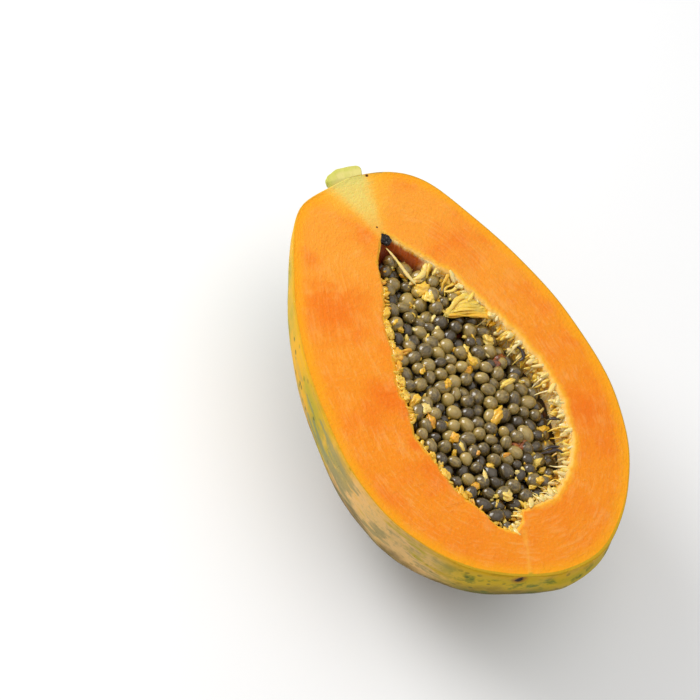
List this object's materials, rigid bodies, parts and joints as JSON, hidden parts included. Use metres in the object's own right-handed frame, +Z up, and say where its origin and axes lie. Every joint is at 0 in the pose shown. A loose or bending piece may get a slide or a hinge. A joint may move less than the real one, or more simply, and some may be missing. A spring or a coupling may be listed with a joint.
{
  "type": "papaya half",
  "caption": "Half of a ripe papaya cut lengthwise, with orange flesh, speckled green and yellow skin and a heap of dark glossy seeds in its hollow.",
  "frame": {"origin": "on the surface that the fruit rests on, under the middle of its box", "axes": "+Z up out of the level cut face, +Y along the fruit towards the stem end, +X to the right when the cut face is seen from above with the stem end away"},
  "size_m": [0.1168, 0.1808, 0.0592],
  "materials": {
    "flesh": "moist orange cut flesh, with a rind that is yellow and green outside",
    "seeds": "dark olive-grey seeds in clear wet gel"
  },
  "bodies": {
    "root": {"papaya_flesh": "flesh", "seed_heap": "seeds"}
  },
  "joints": []
}
